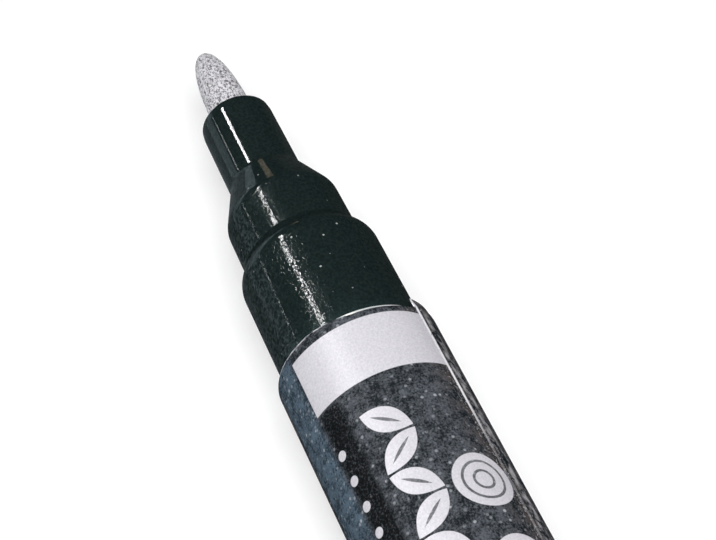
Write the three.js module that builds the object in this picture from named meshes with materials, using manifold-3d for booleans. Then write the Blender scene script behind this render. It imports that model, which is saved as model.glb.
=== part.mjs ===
// A valve-action paint marker: a felt nib in a stepped nose, an aluminium barrel under a printed
// film, and the cap posted on the tail. Lengths are in millimetres. The pen lies on its side,
// its axis along X and its nib towards +X. Every place along the pen is measured forward from
// the barrel's front rim, and at the end the pen is centred over the surface that it lies on.
import * as THREE from 'three';
import { mergeVertices } from 'three/addons/utils/BufferGeometryUtils.js';
import Module from 'manifold-3d';

const wasm = await Module();
wasm.setup();

// Barrel and its printed film
const BODY_RADIUS = 7.75;
const BARREL_LENGTH = 84;
const FILM_WALL = 0.12;
const BARREL_WALL = 0.5;
const LIP_RADIUS = 0.85;
const LIP_EDGE = 0.12;
const FILM_EDGE_DEGREES = 35;

// Nose: collar, middle step and tip holder, from the rim to the nib
const COLLAR_LENGTH = 10.8;
const COLLAR_STEP = 0.17;
const COLLAR_ROUND_RADIUS = 2.4;
const SHOULDER_DEGREES = 31;
const SHOULDER_DROP = 1.18;
const MIDDLE_LENGTH = 4.9;
const MIDDLE_ROUND_RADIUS = 1.5;
const NOSE_CONE_DEGREES = 24;
const TIP_WALL = 1.36;
const TIP_LENGTH = 9.0;
const TIP_CHAMFER = 0.25;
const NOSE_DRAFT = 0.06;
const SPIGOT_LENGTH = 13;
const CHAMBER_WALL = 1.4;

// Nib
const NIB_RADIUS = 2.15;
const NIB_SHOWING = 9.8;
const NIB_POINT_LENGTH = 9.2;
const NIB_FULLNESS = 2.3;

// Valve
const VALVE_INSET = 3.6;
const VALVE_WALL = 1.8;
const SEAT_THICKNESS = 1.5;
const HOUSING_WALL = 0.75;
const HOUSING_FLANGE = 1.2;
const HOUSING_FLANGE_STEP = 0.45;
const HOUSING_FLOOR = 1.7;
const PORT_COUNT = 4;
const PORT_RADIUS = 0.7;
const CUP_WALL = 0.6;
const CUP_REACH = 0.9;
const CUP_SINK = 0.4;
const PLUNGER_FLANGE = 1.3;
const STEM_RADIUS = 1.6;
const STEM_REACH = 0.9;

// Spring
const SPRING_WIRE = 0.6;
const SPRING_TURNS = 8;
const SPRING_STEPS_PER_TURN = 8;
const SPRING_SIDES = 5;

// Seal rings
const SEAL_WIDTH = 1.7;
const SEAL_DEPTH = 0.85;
const SEAL_SETBACK = 4;

// Mixing balls
const BALL_RADIUS = 3;
const BALL_SPACING = 0.2;
const BALL_PARKING = 0.6;

// Tail plug
const PLUG_DEPTH = 9;
const PLUG_FLANGE = 1.6;
const TAIL_SPIGOT = 9;
const PLUG_CORE_WALL = 2.1;
const PLUG_CORE_FLOOR = 3.2;
const PLUG_CHAMFER = 0.5;

// Cap
const CAP_ROOM = 1.4;
const CAP_END_WALL = 2.1;
const CAP_EDGE_RADIUS = 0.8;
const LINER_FLOOR = 1.2;
const DISC_RADIUS = 5.5;
const DISC_THICKNESS = 0.8;

// Clip
const CLIP_ROOM = 1.05;
const CLIP_WIDTH = 3.4;
const CLIP_THICKNESS = 1.2;
const CLIP_LENGTH = 30;
const CLIP_SETBACK = 3;
const CLIP_ROOT_LENGTH = 5;
const CLIP_BEAD = 1.1;
const CLIP_BEVEL = 0.3;

// Clearances
const SKIN_GAP = 0.03;
const PRESS_GAP = 0.05;
const FACE_GAP = 0.05;
const SLIDE_GAP = 0.12;
const LOOSE_GAP = 0.3;
const CAP_GAP = 0.15;

// Facets round the turned pieces: equal counts keep nested pieces clear of each other
const FACETS = 40;
const FINE_FACETS = 24;
const ROUND_STEPS = 4;
const NIB_STEPS = 8;
const DRILL_SIDES = 10;
const BALL_DETAIL = 3;
const WELD_DISTANCE = 1e-4;

// Radii that follow from the fits
const barrelOuter = BODY_RADIUS - FILM_WALL - SKIN_GAP;
const barrelBore = barrelOuter - BARREL_WALL;
const spigotRadius = barrelBore - PRESS_GAP;
const collarRadius = spigotRadius - COLLAR_STEP;
const lipBore = collarRadius + PRESS_GAP;
const middleRadius = collarRadius - SHOULDER_DROP;
const nibBore = NIB_RADIUS + SLIDE_GAP;
const tipRadius = nibBore + TIP_WALL;
const chamberRadius = middleRadius - CHAMBER_WALL;
const valveBore = spigotRadius - VALVE_WALL;
const housingRadius = valveBore - PRESS_GAP;
const housingBore = housingRadius - HOUSING_WALL;
const cupRadius = nibBore + CUP_WALL;
const seatBore = cupRadius + LOOSE_GAP;
const plungerRadius = housingBore - LOOSE_GAP;
const guideBore = STEM_RADIUS + SLIDE_GAP;
const sealFloor = barrelBore - SEAL_DEPTH;
const capBore = collarRadius + CAP_GAP;
const tailRadius = capBore - CAP_GAP;
const clipReach = BODY_RADIUS + CLIP_ROOM + CLIP_THICKNESS;

// Places along the pen, forward of the rim
const shoulderDrop = SHOULDER_DROP - NOSE_DRAFT;
const shoulderLength = slopeLength(COLLAR_ROUND_RADIUS, SHOULDER_DEGREES, shoulderDrop);
const middleStart = COLLAR_LENGTH + shoulderLength;
const coneStart = middleStart + MIDDLE_LENGTH;
const coneDrop = middleRadius - tipRadius - NOSE_DRAFT;
const tipStart = coneStart + slopeLength(MIDDLE_ROUND_RADIUS, NOSE_CONE_DEGREES, coneDrop);
const noseFront = tipStart + TIP_LENGTH;
const nibTip = noseFront + NIB_SHOWING;
const nibPointStart = nibTip - NIB_POINT_LENGTH;
const noseRear = -SPIGOT_LENGTH;
const chamberFront = coneStart - LOOSE_GAP;
const housingFront = VALVE_INSET - SEAT_THICKNESS;
const housingFlangeRear = noseRear - HOUSING_FLANGE;
const housingFloorFront = housingFlangeRear + HOUSING_FLOOR;
const plungerFront = housingFront - FACE_GAP;
const plungerRear = plungerFront - PLUNGER_FLANGE;
const cupFront = VALVE_INSET + CUP_REACH;
const cupFloor = plungerFront - CUP_SINK;
const stemRear = housingFloorFront - STEM_REACH;
const noseSealCentre = noseRear + SEAL_SETBACK;

// Places along the pen, behind the rim
const barrelRear = -BARREL_LENGTH;
const plugFront = barrelRear + PLUG_DEPTH;
const plugFlangeRear = barrelRear - PLUG_FLANGE;
const tailSealCentre = plugFront - SEAL_SETBACK;
const capMouth = plugFlangeRear - FACE_GAP;
const linerSetback = middleStart + CAP_GAP;
const tailEnd = plugFlangeRear - TAIL_SPIGOT;
const capDepth = nibTip + CAP_ROOM + LINER_FLOOR;
const capFloor = capMouth - capDepth;
const capEnd = capFloor - CAP_END_WALL;

// The lowest facet of the film lies on the surface
const axisHeight = BODY_RADIUS * Math.cos(Math.PI / FACETS);

// How far a round and the cone after it reach along the pen while the radius falls by a drop
function slopeLength(roundRadius, coneDegrees, drop) {
  const slope = THREE.MathUtils.degToRad(coneDegrees);
  const roundDrop = roundRadius * (1 - Math.cos(slope));
  return roundRadius * Math.sin(slope) + (drop - roundDrop) / Math.tan(slope);
}

// Points of an arc in the (place, radius) plane, from one angle to another
function arc(centreX, centreRadius, radius, fromDegrees, toDegrees) {
  const points = [];
  for (let step = 0; step <= ROUND_STEPS; step++) {
    const degrees = fromDegrees + (toDegrees - fromDegrees) * step / ROUND_STEPS;
    const angle = THREE.MathUtils.degToRad(degrees);
    points.push([centreX + radius * Math.cos(angle), centreRadius + radius * Math.sin(angle)]);
  }
  return points;
}

function signedVolume(position, corners) {
  const [a, b, c] = [new THREE.Vector3(), new THREE.Vector3(), new THREE.Vector3()];
  let volume = 0;
  for (let i = 0; i < corners.length; i += 3) {
    a.fromBufferAttribute(position, corners[i]);
    b.fromBufferAttribute(position, corners[i + 1]);
    c.fromBufferAttribute(position, corners[i + 2]);
    volume += a.dot(b.cross(c));
  }
  return volume;
}

// Weld a geometry's shared corners, drop its empty triangles and face it outwards
function closedBody(geometry) {
  geometry.deleteAttribute('normal');
  geometry.deleteAttribute('uv');
  const welded = mergeVertices(geometry, WELD_DISTANCE);
  const corners = [];
  for (let i = 0; i < welded.index.count; i += 3) {
    const [a, b, c] = [0, 1, 2].map((corner) => welded.index.getX(i + corner));
    if (a !== b && b !== c && c !== a) corners.push(a, b, c);
  }
  if (signedVolume(welded.attributes.position, corners) < 0) corners.reverse();
  welded.setIndex(corners);
  return welded;
}

// Turn an outline of (place, radius) points round the pen's axis
function turned(outline, facets = FACETS) {
  const points = outline.map(([place, radius]) => new THREE.Vector2(radius, place));
  const lathe = new THREE.LatheGeometry(points, facets, Math.PI / facets);
  return closedBody(lathe.rotateZ(-Math.PI / 2));
}

// The same for an outline that goes round a bore and comes back to its first point
function turnedRing(outline, facets = FACETS) {
  return turned([...outline, outline[0]], facets);
}

function toSolid(geometry) {
  const mesh = new wasm.Mesh({
    numProp: 3,
    vertProperties: new Float32Array(geometry.attributes.position.array),
    triVerts: new Uint32Array(geometry.index.array),
  });
  return new wasm.Manifold(mesh);
}

function fromSolid(solid) {
  const mesh = solid.getMesh();
  const geometry = new THREE.BufferGeometry();
  geometry.setAttribute('position', new THREE.BufferAttribute(mesh.vertProperties, 3));
  geometry.setIndex(new THREE.BufferAttribute(mesh.triVerts, 1));
  return geometry;
}

// The point of the nib, a little fuller than an ellipse, from its shoulder to the axis
function nibPoint() {
  const power = 2 / NIB_FULLNESS;
  const points = [];
  for (let step = 0; step <= NIB_STEPS; step++) {
    const angle = (Math.PI / 2) * step / NIB_STEPS;
    const place = nibPointStart + NIB_POINT_LENGTH * Math.sin(angle) ** power;
    points.push([place, step === NIB_STEPS ? 0 : NIB_RADIUS * Math.cos(angle) ** power]);
  }
  return points;
}

function nibGeometry() {
  const nibRear = cupFloor + FACE_GAP;
  return turned([[nibRear, 0], [nibRear, NIB_RADIUS], ...nibPoint()], FINE_FACETS);
}

// The outside of the nose forward of its spigot, from the barrel's lip to the nib's bore
function noseOutside() {
  const collarRound = arc(
    COLLAR_LENGTH,
    collarRadius - NOSE_DRAFT - COLLAR_ROUND_RADIUS,
    COLLAR_ROUND_RADIUS, 90, 90 - SHOULDER_DEGREES);
  const middleRound = arc(
    coneStart,
    middleRadius - MIDDLE_ROUND_RADIUS,
    MIDDLE_ROUND_RADIUS, 90, 90 - NOSE_CONE_DEGREES);
  return [
    [-LIP_RADIUS, collarRadius],
    ...collarRound,
    [middleStart, middleRadius],
    ...middleRound,
    [tipStart, tipRadius + NOSE_DRAFT],
    [noseFront - TIP_CHAMFER, tipRadius],
    [noseFront, tipRadius - TIP_CHAMFER],
  ];
}

// The spigot's outside with the groove for its seal ring
function spigotOutside(front, rear, sealCentre) {
  const halfGroove = SEAL_WIDTH / 2 + PRESS_GAP;
  const grooveFloor = sealFloor - PRESS_GAP;
  return [
    [rear, spigotRadius],
    [sealCentre - halfGroove, spigotRadius],
    [sealCentre - halfGroove, grooveFloor],
    [sealCentre + halfGroove, grooveFloor],
    [sealCentre + halfGroove, spigotRadius],
    [front, spigotRadius],
  ];
}

function noseGeometry() {
  const spigotFront = -LIP_RADIUS - COLLAR_STEP;
  return turnedRing([
    ...spigotOutside(spigotFront, noseRear, noseSealCentre),
    ...noseOutside(),
    [noseFront, nibBore],
    [chamberFront, nibBore],
    [chamberFront, chamberRadius],
    [VALVE_INSET, chamberRadius],
    [VALVE_INSET, valveBore],
    [noseRear, valveBore],
  ]);
}

function overflowFeltGeometry() {
  const rear = cupFront + LOOSE_GAP;
  const front = chamberFront - FACE_GAP;
  const inner = nibBore + SLIDE_GAP;
  const outer = chamberRadius - PRESS_GAP;
  return turnedRing([[rear, inner], [rear, outer], [front, outer], [front, inner]]);
}

function valveSeatGeometry() {
  const front = VALVE_INSET - FACE_GAP;
  return turnedRing([
    [housingFront, seatBore],
    [housingFront, housingRadius],
    [front, housingRadius],
    [front, seatBore],
  ]);
}

// The housing holds the seat against the nose, and its floor guides the plunger's stem
function valveHousingGeometry() {
  const flangeRadius = housingRadius + HOUSING_FLANGE_STEP;
  const front = housingFront - FACE_GAP;
  const housing = turnedRing([
    [housingFlangeRear, guideBore],
    [housingFlangeRear, flangeRadius],
    [noseRear - FACE_GAP, flangeRadius],
    [noseRear - FACE_GAP, housingRadius],
    [front, housingRadius],
    [front, housingBore],
    [housingFloorFront, housingBore],
    [housingFloorFront, guideBore],
  ]);
  const portCircle = (guideBore + housingBore) / 2;
  let solid = toSolid(housing);
  for (let port = 0; port < PORT_COUNT; port++) {
    const angle = (2 * Math.PI * port) / PORT_COUNT;
    const drill = new THREE.CylinderGeometry(PORT_RADIUS, PORT_RADIUS, 2 * HOUSING_FLOOR, DRILL_SIDES);
    drill.rotateZ(-Math.PI / 2);
    drill.translate(
      (housingFlangeRear + housingFloorFront) / 2,
      portCircle * Math.sin(angle),
      portCircle * Math.cos(angle));
    solid = solid.subtract(toSolid(closedBody(drill)));
  }
  return fromSolid(solid);
}

// The plunger takes the nib in its cup, closes on the seat and runs in the housing's floor
function valvePlungerGeometry() {
  return turned([
    [stemRear, 0],
    [stemRear, STEM_RADIUS],
    [plungerRear, STEM_RADIUS],
    [plungerRear, plungerRadius],
    [plungerFront, plungerRadius],
    [plungerFront, cupRadius],
    [cupFront, cupRadius],
    [cupFront, nibBore],
    [cupFloor, nibBore],
    [cupFloor, 0],
  ], FINE_FACETS);
}

// A point on the middle of the spring's wire, from 0 at the plunger to 1 at the housing's floor
function springPoint(share) {
  const front = plungerRear - SPRING_WIRE / 2 - SLIDE_GAP;
  const rear = housingFloorFront + SPRING_WIRE / 2 + SLIDE_GAP;
  const radius = (STEM_RADIUS + housingBore) / 2;
  const angle = 2 * Math.PI * SPRING_TURNS * share;
  return new THREE.Vector3(
    front + (rear - front) * share,
    radius * Math.sin(angle),
    radius * Math.cos(angle));
}

// One unbroken wire, its rings square to the helix and its ends capped
function springGeometry() {
  const steps = SPRING_TURNS * SPRING_STEPS_PER_TURN;
  const axis = new THREE.Vector3(1, 0, 0);
  const corners = [];
  for (let step = 0; step <= steps; step++) {
    const share = step / steps;
    const centre = springPoint(share);
    const outward = new THREE.Vector3(0, centre.y, centre.z).normalize();
    const ahead = springPoint(share + 1 / steps);
    const behind = springPoint(share - 1 / steps);
    const along = ahead.sub(behind).normalize();
    const across = new THREE.Vector3().crossVectors(along, outward);
    for (let side = 0; side < SPRING_SIDES; side++) {
      const angle = (2 * Math.PI * side) / SPRING_SIDES;
      const corner = centre.clone();
      corner.addScaledVector(outward, (SPRING_WIRE / 2) * Math.cos(angle));
      corner.addScaledVector(across, (SPRING_WIRE / 2) * Math.sin(angle));
      corners.push(corner);
    }
  }
  return tubeGeometry(corners, SPRING_SIDES);
}

// Skin rings of corners into a tube with flat ends
function tubeGeometry(corners, sides) {
  const rings = corners.length / sides;
  const faces = [];
  for (let ring = 0; ring + 1 < rings; ring++) {
    for (let side = 0; side < sides; side++) {
      const a = ring * sides + side;
      const b = ring * sides + (side + 1) % sides;
      faces.push(a, b, b + sides, a, b + sides, a + sides);
    }
  }
  const last = (rings - 1) * sides;
  for (let side = 1; side + 1 < sides; side++) {
    faces.push(0, side + 1, side);
    faces.push(last, last + side, last + side + 1);
  }
  const geometry = new THREE.BufferGeometry().setFromPoints(corners);
  geometry.setIndex(faces);
  return closedBody(geometry);
}

// The least gap between one turn of the spring's wire and the next
function springGap() {
  const turnShare = 1 / SPRING_TURNS;
  let least = Infinity;
  for (let step = 0; step <= SPRING_STEPS_PER_TURN; step++) {
    const share = (step / SPRING_STEPS_PER_TURN) * turnShare;
    const nextTurn = springPoint(share + turnShare);
    least = Math.min(least, springPoint(share).distanceTo(nextTurn) - SPRING_WIRE);
  }
  return least;
}

function sealRingGeometry(centre) {
  const halfWidth = SEAL_WIDTH / 2;
  const top = barrelBore - PRESS_GAP / 2;
  const inset = SEAL_DEPTH / 3;
  return turnedRing([
    [centre - halfWidth, sealFloor + inset],
    [centre - halfWidth, top - inset],
    [centre - halfWidth + inset, top],
    [centre + halfWidth - inset, top],
    [centre + halfWidth, top - inset],
    [centre + halfWidth, sealFloor + inset],
    [centre + halfWidth - inset, sealFloor],
    [centre - halfWidth + inset, sealFloor],
  ]);
}

// The tube's front edge is rolled in to hold the nose's spigot
function barrelGeometry() {
  const rollRadius = LIP_RADIUS - FILM_WALL - SKIN_GAP;
  const rollCentre = barrelOuter - rollRadius;
  const rollEnd = THREE.MathUtils.radToDeg(Math.asin((lipBore + LIP_EDGE - rollCentre) / rollRadius));
  const roll = arc(-LIP_RADIUS, rollCentre, rollRadius, 90, rollEnd);
  const lipFront = roll[roll.length - 1][0];
  return turnedRing([
    [barrelRear, barrelOuter],
    ...roll,
    [lipFront, lipBore],
    [-LIP_RADIUS, lipBore],
    [-LIP_RADIUS - COLLAR_STEP, barrelBore],
    [barrelRear, barrelBore],
  ]);
}

// The film follows the tube and stops part of the way round the rolled lip
function labelFilmGeometry() {
  const rollCentre = BODY_RADIUS - LIP_RADIUS;
  const inside = LIP_RADIUS - FILM_WALL;
  return turnedRing([
    [barrelRear, BODY_RADIUS],
    ...arc(-LIP_RADIUS, rollCentre, LIP_RADIUS, 90, FILM_EDGE_DEGREES),
    ...arc(-LIP_RADIUS, rollCentre, inside, FILM_EDGE_DEGREES, 90),
    [barrelRear, BODY_RADIUS - FILM_WALL],
  ]);
}

function mixingBallGeometry(centre) {
  const ball = new THREE.IcosahedronGeometry(BALL_RADIUS, BALL_DETAIL);
  const drop = (barrelBore - PRESS_GAP) * Math.cos(Math.PI / FACETS) - BALL_RADIUS;
  ball.translate(centre, 0, -drop);
  return closedBody(ball);
}

function tailPlugGeometry() {
  const flangeFront = barrelRear - FACE_GAP;
  const coreRadius = spigotRadius - PLUG_CORE_WALL;
  return turned([
    [plugFront - PLUG_CORE_FLOOR, 0],
    [plugFront - PLUG_CORE_FLOOR, coreRadius],
    [tailEnd, coreRadius],
    [tailEnd, tailRadius - PLUG_CHAMFER],
    [tailEnd + PLUG_CHAMFER, tailRadius],
    [plugFlangeRear, tailRadius],
    [plugFlangeRear, BODY_RADIUS],
    [flangeFront, BODY_RADIUS],
    ...spigotOutside(plugFront, flangeFront, tailSealCentre),
    [plugFront, 0],
  ]);
}

// The cap's shell, open at its mouth, with a seat for the colour disc in its end
function capShellGeometry() {
  const discSeat = DISC_RADIUS + PRESS_GAP;
  const mouthEdge = CAP_EDGE_RADIUS / 2;
  return turned([
    [capFloor, 0],
    [capFloor, capBore],
    [capMouth - mouthEdge, capBore],
    [capMouth, capBore + mouthEdge / 2],
    [capMouth, BODY_RADIUS - mouthEdge / 2],
    [capMouth - mouthEdge, BODY_RADIUS],
    ...arc(capEnd + CAP_EDGE_RADIUS, BODY_RADIUS - CAP_EDGE_RADIUS, CAP_EDGE_RADIUS, 90, 180),
    [capEnd, discSeat],
    [capEnd + DISC_THICKNESS + FACE_GAP, discSeat],
    [capEnd + DISC_THICKNESS + FACE_GAP, 0],
  ]);
}

// Side outline of the clip: its root on the shell, the blade, and the bead at its free end
function clipOutline() {
  const rear = capEnd + CLIP_SETBACK + CLIP_BEVEL;
  const front = capEnd + CLIP_SETBACK + CLIP_LENGTH;
  const outside = clipReach - CLIP_BEVEL;
  const inside = BODY_RADIUS + CLIP_ROOM + CLIP_BEVEL;
  const roundLength = outside - BODY_RADIUS;
  const beadFloor = BODY_RADIUS + LOOSE_GAP + CLIP_BEVEL;
  const rootRadius = Math.hypot(BODY_RADIUS, CLIP_WIDTH / 2);
  const rootFloor = 2 * BODY_RADIUS - rootRadius - PRESS_GAP;
  const outline = new THREE.Shape();
  outline.moveTo(rear, rootFloor);
  outline.lineTo(rear, BODY_RADIUS);
  outline.quadraticCurveTo(rear, outside, rear + roundLength, outside);
  outline.lineTo(front - roundLength, outside);
  outline.quadraticCurveTo(front, outside, front, inside);
  outline.lineTo(front - CLIP_BEAD, beadFloor);
  outline.lineTo(front - 2 * CLIP_BEAD, beadFloor);
  outline.lineTo(front - 3 * CLIP_BEAD, inside);
  outline.lineTo(rear + CLIP_ROOT_LENGTH + CLIP_THICKNESS, inside);
  outline.lineTo(rear + CLIP_ROOT_LENGTH, rootFloor);
  outline.closePath();
  return outline;
}

// The angle from straight down at which the clip's lower edge just meets the surface
function clipAngle() {
  const edgeReach = Math.hypot(clipReach, CLIP_WIDTH / 2);
  const edgeLead = Math.atan2(CLIP_WIDTH / 2, clipReach);
  return edgeLead + Math.acos((axisHeight - FACE_GAP) / edgeReach);
}

function clipGeometry() {
  const clip = new THREE.ExtrudeGeometry(clipOutline(), {
    depth: CLIP_WIDTH - 2 * CLIP_BEVEL,
    bevelEnabled: true,
    bevelThickness: CLIP_BEVEL,
    bevelSize: CLIP_BEVEL,
    bevelSegments: 1,
    curveSegments: ROUND_STEPS,
  });
  clip.translate(0, 0, -CLIP_WIDTH / 2 + CLIP_BEVEL);
  clip.rotateX(-Math.PI / 2 - clipAngle());
  return closedBody(clip);
}

function capGeometry() {
  return fromSolid(toSolid(capShellGeometry()).add(toSolid(clipGeometry())));
}

// The liner's inside repeats the nose's middle step, cone and tip with room round them
function capLinerGeometry() {
  const outer = capBore - PRESS_GAP;
  const middle = middleRadius + CAP_GAP;
  const chamber = tipRadius + NOSE_DRAFT + CAP_GAP;
  const floor = capFloor + FACE_GAP;
  return turned([
    [floor, 0],
    [floor, outer],
    [capMouth - linerSetback - CAP_GAP, outer],
    [capMouth - linerSetback, (outer + middle) / 2],
    [capMouth - linerSetback - CAP_GAP, middle],
    [capMouth - coneStart - CAP_GAP, middle],
    [capMouth - tipStart - CAP_GAP, chamber],
    [floor + LINER_FLOOR, chamber],
    [floor + LINER_FLOOR, 0],
  ]);
}

function capEndDiscGeometry() {
  const front = capEnd + DISC_THICKNESS;
  return turned([[capEnd, 0], [capEnd, DISC_RADIUS], [front, DISC_RADIUS], [front, 0]]);
}

const BLACK_GLOSS = { color: 0x14181a, roughness: 0.18, metalness: 0 };
const SATIN_ALUMINIUM = { color: 0xb9bcbf, roughness: 0.35, metalness: 1 };
const PRINTED_FILM = { color: 0x2f383e, roughness: 0.22, metalness: 0 };
const NIB_FELT = { color: 0xd9d6dc, roughness: 0.95, metalness: 0 };
const NATURAL_PLASTIC = { color: 0xe4e2dc, roughness: 0.45, metalness: 0 };
const DARK_RUBBER = { color: 0x1c1c1c, roughness: 0.85, metalness: 0 };
const SPRING_STEEL = { color: 0xa9abae, roughness: 0.3, metalness: 1 };
const SILVER_DISC = { color: 0xd0cfd6, roughness: 0.3, metalness: 0 };

const pen = new THREE.Group();

function addPiece(name, geometry, finish) {
  const mesh = new THREE.Mesh(geometry, new THREE.MeshStandardMaterial(finish));
  mesh.name = name;
  pen.add(mesh);
}

const rearBallCentre = plugFront + BALL_PARKING + BALL_RADIUS;
const frontBallCentre = rearBallCentre + 2 * BALL_RADIUS + BALL_SPACING;

addPiece('nib', nibGeometry(), NIB_FELT);
addPiece('nose', noseGeometry(), BLACK_GLOSS);
addPiece('overflow_felt', overflowFeltGeometry(), NIB_FELT);
addPiece('valve_seat', valveSeatGeometry(), DARK_RUBBER);
addPiece('valve_housing', valveHousingGeometry(), NATURAL_PLASTIC);
addPiece('valve_plunger', valvePlungerGeometry(), NATURAL_PLASTIC);
addPiece('valve_spring', springGeometry(), SPRING_STEEL);
addPiece('nose_seal_ring', sealRingGeometry(noseSealCentre), DARK_RUBBER);
addPiece('barrel', barrelGeometry(), SATIN_ALUMINIUM);
addPiece('label_film', labelFilmGeometry(), PRINTED_FILM);
addPiece('mixing_ball_front', mixingBallGeometry(frontBallCentre), SPRING_STEEL);
addPiece('mixing_ball_rear', mixingBallGeometry(rearBallCentre), SPRING_STEEL);
addPiece('tail_plug', tailPlugGeometry(), BLACK_GLOSS);
addPiece('tail_seal_ring', sealRingGeometry(tailSealCentre), DARK_RUBBER);
addPiece('cap', capGeometry(), BLACK_GLOSS);
addPiece('cap_liner', capLinerGeometry(), NATURAL_PLASTIC);
addPiece('cap_end_disc', capEndDiscGeometry(), SILVER_DISC);

console.log(`least gap in the spring: ${springGap().toFixed(2)} mm`);

pen.position.set(-(nibTip + capEnd) / 2, 0, axisHeight);

export default pen;
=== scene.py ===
import math
import bmesh
import bpy
from mathutils import Matrix, Vector, noise


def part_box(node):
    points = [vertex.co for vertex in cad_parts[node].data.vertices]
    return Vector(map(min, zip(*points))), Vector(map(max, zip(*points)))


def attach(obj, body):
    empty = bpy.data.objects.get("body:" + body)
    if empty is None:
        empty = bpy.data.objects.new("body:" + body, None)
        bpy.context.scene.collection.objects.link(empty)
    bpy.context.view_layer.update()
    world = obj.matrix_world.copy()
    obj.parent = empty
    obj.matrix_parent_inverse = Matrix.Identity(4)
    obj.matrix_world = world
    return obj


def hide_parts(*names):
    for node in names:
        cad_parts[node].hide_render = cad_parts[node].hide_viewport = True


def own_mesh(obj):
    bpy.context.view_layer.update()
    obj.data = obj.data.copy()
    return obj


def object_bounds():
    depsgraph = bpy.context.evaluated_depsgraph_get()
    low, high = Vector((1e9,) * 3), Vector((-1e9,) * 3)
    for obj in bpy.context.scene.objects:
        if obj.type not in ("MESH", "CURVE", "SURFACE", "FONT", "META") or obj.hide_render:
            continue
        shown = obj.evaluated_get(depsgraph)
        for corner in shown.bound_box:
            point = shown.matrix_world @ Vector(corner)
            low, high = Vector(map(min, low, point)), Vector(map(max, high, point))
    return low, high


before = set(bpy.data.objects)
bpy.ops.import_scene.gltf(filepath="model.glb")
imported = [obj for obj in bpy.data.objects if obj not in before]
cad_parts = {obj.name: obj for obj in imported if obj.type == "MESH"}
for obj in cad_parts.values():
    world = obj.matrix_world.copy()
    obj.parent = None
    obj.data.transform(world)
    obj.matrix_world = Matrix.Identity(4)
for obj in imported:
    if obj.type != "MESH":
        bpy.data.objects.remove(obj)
cad_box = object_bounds()


# The barrel is a drawn aluminium tube that holds the paint. Its front edge is rolled in over
# the nose's spigot, and the roll is left bare inside the film, as a thin bright ring.
# Places along the pen are in millimetres forward of the barrel's rim.
MM = 0.001
BARREL = 84.0
TUBE = 7.58
BORE = 7.1
LIP = 0.85
LIP_BORE = 6.96
LIP_STEP = 0.2
FILM_END = 35
ROLL = 1.0
ROLL_END = 25
ROLL_BACK = 0.07
ROLL_EDGE = 0.03
film_low, film_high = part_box("label_film")
axis_height = (film_low.z + film_high.z) / 2
rim = film_high.x + LIP * MM * (1 - math.cos(math.radians(FILM_END)))


def piece(name, mesh, sharp=35):
    """An object from a finished bmesh, smooth but for the edges that are sharper than an angle."""
    bmesh.ops.recalc_face_normals(mesh, faces=mesh.faces)
    data = bpy.data.meshes.new(name)
    mesh.to_mesh(data)
    mesh.free()
    data.shade_smooth()
    data.set_sharp_from_angle(angle=math.radians(sharp))
    made = bpy.data.objects.new(name, data)
    bpy.context.scene.collection.objects.link(made)
    return made


def arc(start, end, steps):
    """Angles in radians from one to another, both given in degrees."""
    return [math.radians(start + (end - start) * step / steps) for step in range(steps + 1)]


def turned(outline, facets=192):
    """A bmesh of (place, radius) points turned round the pen's axis; an outline that doesn't
    start and end on the axis is closed into a ring."""
    mesh = bmesh.new()
    rings = []
    for at, radius in outline:
        ring = []
        for facet in range(facets if radius > 0 else 1):
            angle = 2 * math.pi * facet / facets
            across = radius * MM * Vector((0, math.cos(angle), math.sin(angle)))
            ring.append(mesh.verts.new(across + Vector((rim + at * MM, 0, axis_height))))
        rings.append(ring)
    pairs = list(zip(rings, rings[1:]))
    if outline[0][1] > 0:
        pairs.append((rings[-1], rings[0]))
    for one, two in pairs:
        for facet in range(facets):
            corners = [one[facet % len(one)], one[(facet + 1) % facets % len(one)],
                       two[(facet + 1) % facets % len(two)], two[facet % len(two)]]
            corners = list(dict.fromkeys(corners))
            if len(corners) > 2:
                mesh.faces.new(corners)
    return mesh


def linear(code):
    """A material colour from its sRGB hex value."""
    parts = [int(code[i:i + 2], 16) / 255 for i in (1, 3, 5)]
    return [p / 12.92 if p <= 0.04045 else ((p + 0.055) / 1.055) ** 2.4 for p in parts] + [1.0]


def set_node(node, settings):
    """Set a node's properties and sockets. A socket takes a value, an output of an earlier node,
    or an earlier node itself, for the first of its outputs that is in use."""
    for key, value in settings.items():
        if isinstance(value, bpy.types.Node):
            value = next(output for output in value.outputs if output.enabled)
        if isinstance(key, str) and hasattr(node, key):
            setattr(node, key, value)
        elif isinstance(value, bpy.types.NodeSocket):
            node.id_data.links.new(value, node.inputs[key])
        else:
            node.inputs[key].default_value = value


def add_node(kind, settings=None):
    """Add a node with its settings and links to the material in hand."""
    made = tree.nodes.new("ShaderNode" + kind)
    set_node(made, settings or {})
    return made


def material(name):
    """A material, the tree that its nodes go into, and the shader that they lead to."""
    made = bpy.data.materials.new(name)
    made.use_nodes = True
    return made, made.node_tree, made.node_tree.nodes["Principled BSDF"]


def dress(thing, *materials):
    """Give an object these materials in place of those that it has."""
    thing.data.materials.clear()
    for one in materials:
        thing.data.materials.append(one)


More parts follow.
